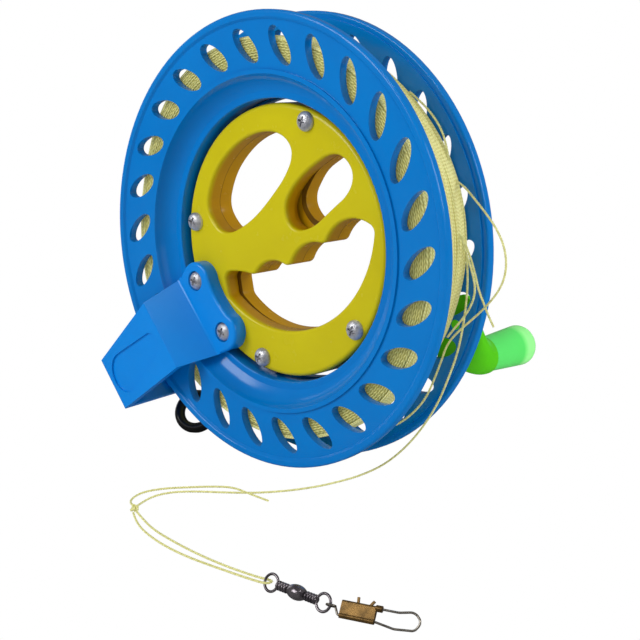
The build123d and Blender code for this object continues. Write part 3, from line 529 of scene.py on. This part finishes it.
class WINDER_OT_wound_line(bpy.types.Operator):
    """Winds the line between the flanges: a ribbed pack with a loose outer layer over it"""
    bl_idname = "winder.wound_line"
    bl_label = "Wound line"

    def execute(self, context):
        o = options()
        pitch = o.line_diameter
        side = wound_side("wound line sides", rgb(238, 234, 152), rgb(164, 156, 74), pitch, o.line_lay * 0.8)
        profile = []
        steps = 6
        rows = 9
        for k in range(rows):
            for j in range(steps):
                a = math.pi * j / steps
                profile.append((PACK_INNER * MM + pitch * (k + 0.5 - 0.5 * math.cos(a)),
                                -PACK_SIDE * MM - 0.45 * MM * math.sin(a)))
        foot = (PACK_INNER - 0.05) * MM
        outline = [(foot, -PACK_HALF * MM)] + profile
        outline += [(PACK_OUTER * MM, -PACK_HALF * MM), (PACK_OUTER * MM, PACK_HALF * MM)]
        outline += [(r, -y) for r, y in profile[::-1]] + [(foot, PACK_HALF * MM)]
        bpy.ops.object.select_all(action="DESELECT")
        bpy.ops.mesh.primitive_circle_add(vertices=len(outline), radius=0.01, fill_type="NOTHING")
        obj = context.active_object
        obj.name = "wound_pack"
        for v, (r, y) in zip(obj.data.vertices, outline):
            v.co = (r, y, 0.0)
        bpy.ops.object.mode_set(mode="EDIT")
        bpy.ops.mesh.select_all(action="SELECT")
        bpy.ops.mesh.spin(steps=180, angle=2 * math.pi, center=(0, 0, 0), axis=(0, 1, 0))
        bpy.ops.mesh.select_all(action="SELECT")
        bpy.ops.mesh.remove_doubles(threshold=1e-6)
        bpy.ops.mesh.normals_make_consistent(inside=False)
        bpy.ops.object.mode_set(mode="OBJECT")
        for v in obj.data.vertices:
            r = math.hypot(v.co.x, v.co.z)
            depth = max(0.0, (r / MM - PACK_INNER) / (PACK_OUTER - PACK_INNER))
            more = swell(math.atan2(v.co.z, v.co.x), v.co.y / MM) * MM * depth
            v.co.x *= (r + more) / r
            v.co.z *= (r + more) / r
        obj.data.shade_smooth()
        obj.data.materials.append(side)
        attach(obj, "spool")
        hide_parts("wound_core")

        # The wound line glows more strongly than the loose line: painted light.
        mat = twisted_line("wound line", o.line_colour, rgb(190, 180, 92), glow=0.2)
        random.seed(7)
        bm = bmesh.new()
        uv = bm.loops.layers.uv.new("lay")
        sides = 5
        count = 120
        for k in range(o.wraps):
            under = k % 3 == 0
            y0 = -8.9 + 17.8 * k / (o.wraps - 1)
            sway = random.uniform(0.2, 0.6) if under else random.uniform(0.4, 2.0)
            phase = random.uniform(0, 2 * math.pi)
            waves = 1 if random.random() < 0.6 else 2
            start = random.uniform(0, 2 * math.pi)
            lift = -0.45 if under else random.uniform(-0.2, 0.25)
            points = []
            for j in range(count):
                t = 2 * math.pi * j / count
                y = y0 + sway * math.sin(waves * t + phase) + 0.12 * math.sin(9 * t + start)
                y = max(-PACK_HALF, min(PACK_HALF, y))
                r = STRANDS + swell(t, y) + lift + 0.12 * math.sin(7 * t + phase)
                points.append(Vector((r * math.cos(t), y, r * math.sin(t))) * MM)
            sweep_strand(bm, uv, points, o.line_diameter * 0.34, sides, 0.0, o.line_lay * 0.45, start,
                         closed=True)
        wound = new_piece("wound_strands", bm, mat, "spool")
        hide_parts("wound_turns")
        return {"FINISHED"}


class WINDER_OT_spool(bpy.types.Operator):
    """Finishes the two flanges and their screws"""
    bl_idname = "winder.spool"
    bl_label = "Spool"

    def execute(self, context):
        o = options()
        blue = moulded("blue plastic", o.blue, rgb(0, 113, 194), rough=0.19)
        dress(["spool_front_flange", "spool_rear_flange"], blue, weld=0.0009)
        screws = plated("screw steel", rgb(226, 226, 230), rgb(150, 150, 158), relief=0.8, metal=0.55)
        dress(["spool_screws"], screws)
        return {"FINISHED"}


class WINDER_OT_grip(bpy.types.Operator):
    """Finishes the palm grip, its screws and the bearings"""
    bl_idname = "winder.grip"
    bl_label = "Palm grip"

    def execute(self, context):
        o = options()
        # Painted shade: the grip's openings turn brown-orange further back along the axis, and a painted
        # shadow lies along the seam between its halves.
        olive = moulded("olive plastic", o.olive, rgb(196, 182, 6), rough=0.26,
                        deep=(rgb(190, 142, 8), -0.0042, 0.0026, 0.0027))
        dress(["grip_front", "grip_rear"], olive, weld=0.0003)
        screws = bpy.data.materials["screw steel"]
        dress(["grip_screws", "arm_screws"], screws)
        steel = plated("bearing steel", rgb(178, 178, 182), rgb(140, 140, 146), rough=0.25)
        dress(["bearing_inner_rings", "bearing_outer_1", "bearing_outer_2", "bearing_outer_3",
               "bearing_outer_4"], steel)
        return {"FINISHED"}


class WINDER_OT_arm(bpy.types.Operator):
    """Finishes the guide arm and its swivelling ring"""
    bl_idname = "winder.arm"
    bl_label = "Guide arm"

    def execute(self, context):
        o = options()
        blue = moulded("arm plastic", rgb(8, 138, 230), rgb(2, 128, 218), rough=0.2)
        dress(["guide_arm"], blue, weld=0.0007)
        black = moulded("black plastic", rgb(22, 22, 22), rgb(12, 12, 12), rough=0.3, coat=0.4)
        dress(["guide_ring"], black)
        return {"FINISHED"}


class WINDER_OT_knob(bpy.types.Operator):
    """Finishes the knob's foot and its see-through sleeve"""
    bl_idname = "winder.knob"
    bl_label = "Crank knob"

    def execute(self, context):
        o = options()
        # The foot glows a little in its own colour: painted light.
        lime = moulded("lime plastic", o.lime, rgb(78, 200, 14), rough=0.22, Emission_Strength=0.08,
                       Emission_Color=o.lime)
        dress(["knob_base"], lime)
        # The sleeve glows in its pale colour: painted light.
        mint = moulded("mint plastic", rgb(66, 222, 92), rgb(84, 232, 112), rough=0.16, coat=0.2, relief=0.03,
                       deep=(o.mint, 0.0462, 0.0030, NO_SEAM), Transmission_Weight=0.25, IOR=1.3,
                       Emission_Strength=0.16, Emission_Color=o.mint)
        dress(["knob_sleeve"], mint)
        return {"FINISHED"}


class WINDER_OT_swivel(bpy.types.Operator):
    """Finishes the snap swivel"""
    bl_idname = "winder.swivel"
    bl_label = "Snap swivel"

    def execute(self, context):
        dark = plated("dark nickel", rgb(132, 126, 130), rgb(72, 66, 72), rough=0.18, relief=0.05)
        dress(["swivel_line_eye", "swivel_barrel", "swivel_snap_eye"], dark)
        bronze = plated("bronze sheet", rgb(136, 104, 56), rgb(92, 70, 36), rough=0.28, relief=0.04)
        dress(["snap_plate"], bronze)
        wire = plated("spring wire", rgb(150, 144, 134), rgb(92, 86, 78), rough=0.2, relief=0.03)
        dress(["snap_wire"], wire)
        return {"FINISHED"}


class WINDER_OT_stage(bpy.types.Operator):
    """Makes the pale floor, the white surround and the soft lamps"""
    bl_idname = "winder.stage"
    bl_label = "Stage"

    def execute(self, context):
        bpy.ops.object.select_all(action="DESELECT")
        bpy.ops.mesh.primitive_plane_add(size=6.0, location=(0, 0, FLOOR))
        floor = context.active_object
        floor.name = "floor"
        mat, tree, surface = finish("floor white", Roughness=0.9, Specular_IOR_Level=0.1)
        surface.inputs["Base Color"].default_value = (0.9, 0.9, 0.9, 1.0)
        path = tree.nodes.new("ShaderNodeLightPath")
        glow = tree.nodes.new("ShaderNodeEmission")
        glow.inputs["Strength"].default_value = 1.0
        mix = tree.nodes.new("ShaderNodeMixShader")
        tree.links.new(path.outputs["Is Camera Ray"], mix.inputs[0])
        tree.links.new(surface.outputs[0], mix.inputs[1])
        tree.links.new(glow.outputs[0], mix.inputs[2])
        dim = tree.nodes.new("ShaderNodeMixShader")
        dark = tree.nodes.new("ShaderNodeEmission")
        dark.inputs["Strength"].default_value = 0.0
        mirrored = Shade(tree, path.outputs["Is Glossy Ray"]) * 0.85
        tree.links.new(mirrored.socket, dim.inputs[0])
        tree.links.new(mix.outputs[0], dim.inputs[1])
        tree.links.new(dark.outputs[0], dim.inputs[2])
        out = next(n for n in tree.nodes if n.type == "OUTPUT_MATERIAL")
        tree.links.new(dim.outputs[0], out.inputs["Surface"])
        floor.data.materials.append(mat)

        world = bpy.data.worlds.new("surround")
        world.use_nodes = True
        context.scene.world = world
        tree = world.node_tree
        back = next(n for n in tree.nodes if n.type == "BACKGROUND")
        back.inputs["Color"].default_value = (1, 1, 1, 1)
        path = tree.nodes.new("ShaderNodeLightPath")
        camera = Shade(tree, path.outputs["Is Camera Ray"])
        clear = Shade(tree, path.outputs["Is Transmission Ray"])
        glossy = Shade(tree, path.outputs["Is Glossy Ray"])
        strength = camera.maths("MAXIMUM", clear) * 0.73 - glossy * 0.12 + 0.27
        link(tree, strength, back.inputs["Strength"])

        for name, place, aim, size, power in (
                ("key", (-0.42, -0.98, 0.54), (0, 0, 0), 0.6, 7.8),
                ("fill", (0.95, -0.5, 0.35), (0, 0, 0), 0.6, 0.7),
                ("rim", (1.0, 0.25, 0.5), (0, 0, 0), 0.5, 6.0),
                ("glint above", (0.30, -0.55, 0.95), (0, 0, 0), 0.12, 1.1),
                ("side", (-1.0, 0.1, 0.2), (0, 0, 0), 0.6, 1.6)):
            data = bpy.data.lights.new(name, "AREA")
            data.shape = "SQUARE"
            data.size = size
            data.energy = power
            lamp = bpy.data.objects.new(name, data)
            lamp.location = place
            lamp.rotation_euler = (Vector(aim) - Vector(place)).to_track_quat("-Z", "Y").to_euler()
            context.scene.collection.objects.link(lamp)
        context.scene.view_settings.view_transform = "Standard"
        return {"FINISHED"}


STEPS = (WINDER_OT_camera, WINDER_OT_loose_line, WINDER_OT_knot, WINDER_OT_wound_line, WINDER_OT_spool,
         WINDER_OT_grip, WINDER_OT_arm, WINDER_OT_knob, WINDER_OT_swivel, WINDER_OT_stage)


class WINDER_PT_panel(bpy.types.Panel):
    """Lists the winder's sizes, colours and pieces"""
    bl_idname = "WINDER_PT_panel"
    bl_label = "Line Winder"
    bl_space_type = "VIEW_3D"
    bl_region_type = "UI"
    bl_category = "Line Winder"

    def draw(self, context):
        for key in WinderSettings.__annotations__:
            self.layout.prop(context.scene.line_winder, key)
        for step in STEPS:
            self.layout.operator(step.bl_idname)


def register():
    for cls in (WinderSettings, *STEPS, WINDER_PT_panel):
        bpy.utils.register_class(cls)
    bpy.types.Scene.line_winder = PointerProperty(type=WinderSettings)


def unregister():
    del bpy.types.Scene.line_winder
    for cls in reversed((WinderSettings, *STEPS, WINDER_PT_panel)):
        bpy.utils.unregister_class(cls)


def main():
    register()
    for step in STEPS:
        group, name = step.bl_idname.split(".")
        getattr(getattr(bpy.ops, group), name)()


if __name__ == "__main__":
    main()
